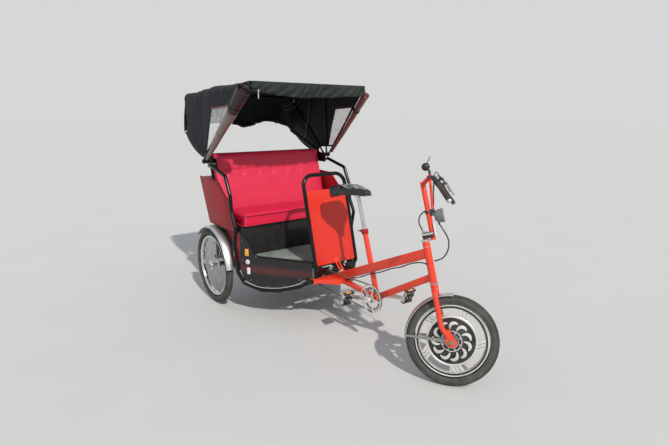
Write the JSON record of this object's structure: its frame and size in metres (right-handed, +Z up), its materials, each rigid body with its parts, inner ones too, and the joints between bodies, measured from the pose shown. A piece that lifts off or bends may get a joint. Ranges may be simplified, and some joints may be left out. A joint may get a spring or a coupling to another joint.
{
  "type": "cycle rickshaw",
  "caption": "Pedal cycle rickshaw with a hub motor in its cast front wheel, a red cab with diagonal entrances and a folding black hood.",
  "frame": {"origin": "on the ground under the middle of the whole vehicle", "axes": "+X forward, +Y to the rider's left, +Z up"},
  "size_m": [2.7636, 1.23, 1.7392],
  "materials": {
    "frame_paint": "semi-gloss orange-red enamel",
    "black_tube": "gloss black enamel",
    "red_panel": "dark red enamel",
    "black_sheet": "gloss black enamel",
    "seat_vinyl": "grained red vinyl",
    "hood_cloth": "coated black cloth",
    "curtain_vinyl": "rolled clear vinyl with a brown tint",
    "tyre_rubber": "matt black rubber",
    "bright_chrome": "worn chrome",
    "bare_steel": "oiled steel",
    "cast_alloy": "cast and machined alloy",
    "motor_black": "satin black",
    "floor_mat": "grey-green ribbed rubber",
    "black_rubber": "matt black rubber",
    "saddle_cover": "black vinyl cover",
    "grey_plastic": "grey moulded plastic",
    "black_plastic": "black moulded plastic",
    "amber_lens": "amber lens",
    "red_lens": "red lens",
    "white_lens": "white lens"
  },
  "bodies": {
    "root": {"back_board": "black_sheet", "backrest": "seat_vinyl", "battery": "grey_plastic", "bulkhead_hoop": "black_tube", "bulkhead_panel": "red_panel", "chain": "bare_steel", "chassis": "black_tube", "entry_hoops": "black_tube", "floor_pan": "floor_mat", "frame_cables": "black_rubber", "headset": "bright_chrome", "hood_base_bow": "black_tube", "hood_pivots": "black_tube", "main_frame": "frame_paint", "rear_axle": "black_tube", "rear_mudguards": "bright_chrome", "rear_panel": "red_panel", "saddle": "saddle_cover", "saddle_rails": "bare_steel", "seat_box": "red_panel", "seat_clamp": "bare_steel", "seat_cushion": "seat_vinyl", "seatpost": "bright_chrome", "side_panels": "red_panel", "side_reflectors": "amber_lens", "skirts": "black_sheet", "tail_lamps": "red_lens", "wheel_walls": "black_sheet"},
    "steering": {"fork": "frame_paint", "front_mudguard": "bright_chrome", "handlebar_riser": "black_tube", "handlebar": "bright_chrome", "grips": "black_rubber", "brake_levers": "cast_alloy", "bell": "grey_plastic", "headlamp": "grey_plastic", "front_reflector": "white_lens", "front_cables": "black_rubber"},
    "front_wheel_set": {"front_tyre": "tyre_rubber", "front_wheel": "cast_alloy", "hub_motor": "motor_black"},
    "wheel_left": {"rear_tyre_left": "tyre_rubber", "rear_wheel_left": "bright_chrome"},
    "wheel_right": {"rear_tyre_right": "tyre_rubber", "rear_wheel_right": "bright_chrome"},
    "crank": {"crankset": "bare_steel"},
    "left_pedal": {"pedal_left": "black_plastic"},
    "right_pedal": {"pedal_right": "black_plastic"},
    "hood_rear": {"hood_rear_bow": "black_tube", "hood_back": "hood_cloth", "hood_sides_rear": "hood_cloth", "rear_curtain": "hood_cloth"},
    "hood_middle": {"hood_middle_bow": "black_tube", "hood_roof_rear": "hood_cloth", "hood_sides_middle": "hood_cloth"},
    "hood_front": {"hood_front_bow": "black_tube", "hood_roof_front": "hood_cloth", "hood_sides_front": "hood_cloth", "hood_valance": "hood_cloth", "curtain_rolls": "curtain_vinyl"}
  },
  "joints": [
    {"name": "steer", "type": "hinge", "parent": "root", "child": "steering", "pos_m": [1.02172, 0, 0.577], "axis": [-0.3173, 0, 0.9483], "range_deg": [-98, 22]},
    {"name": "front_wheel_spin", "type": "hinge", "parent": "steering", "child": "front_wheel_set", "pos_m": [1.16087, 0.02463, 0.26047], "axis": [-0.5838, 0.788, -0.1954], "continuous": true},
    {"name": "left_wheel_spin", "type": "hinge", "parent": "root", "child": "wheel_left", "pos_m": [-0.80828, 0.561, 0.305], "axis": [0, 1, 0], "continuous": true},
    {"name": "right_wheel_spin", "type": "hinge", "parent": "root", "child": "wheel_right", "pos_m": [-0.80828, -0.561, 0.305], "axis": [0, 1, 0], "continuous": true},
    {"name": "crank_spin", "type": "hinge", "parent": "root", "child": "crank", "pos_m": [0.54372, 0, 0.331], "axis": [0, 1, 0], "continuous": true},
    {"name": "left_pedal_spin", "type": "hinge", "parent": "crank", "child": "left_pedal", "pos_m": [0.70569, 0.12, 0.36248], "axis": [0, 1, 0], "continuous": true},
    {"name": "right_pedal_spin", "type": "hinge", "parent": "crank", "child": "right_pedal", "pos_m": [0.38175, -0.12, 0.29952], "axis": [0, 1, 0], "continuous": true},
    {"name": "hood_fold", "type": "hinge", "parent": "root", "child": "hood_rear", "pos_m": [-0.82828, 0, 1.15], "axis": [0, -1, 0], "range_deg": [0, 16.5], "deforming": ["hood_sides_rear"]},
    {"name": "hood_middle_fold", "type": "hinge", "parent": "hood_rear", "child": "hood_middle", "pos_m": [-0.82828, 0, 1.15], "axis": [0, -1, 0], "range_deg": [0, 39.5], "deforming": ["hood_roof_rear", "hood_sides_middle"]},
    {"name": "hood_front_fold", "type": "hinge", "parent": "hood_middle", "child": "hood_front", "pos_m": [-0.82828, 0, 1.15], "axis": [0, -1, 0], "range_deg": [0, 34.5], "deforming": ["hood_roof_front", "hood_sides_front"]}
  ],
  "couplings": [
    {"joint": "hood_middle_fold", "follows": "hood_fold", "ratio": 2.3939},
    {"joint": "hood_front_fold", "follows": "hood_fold", "ratio": 2.0909}
  ]
}
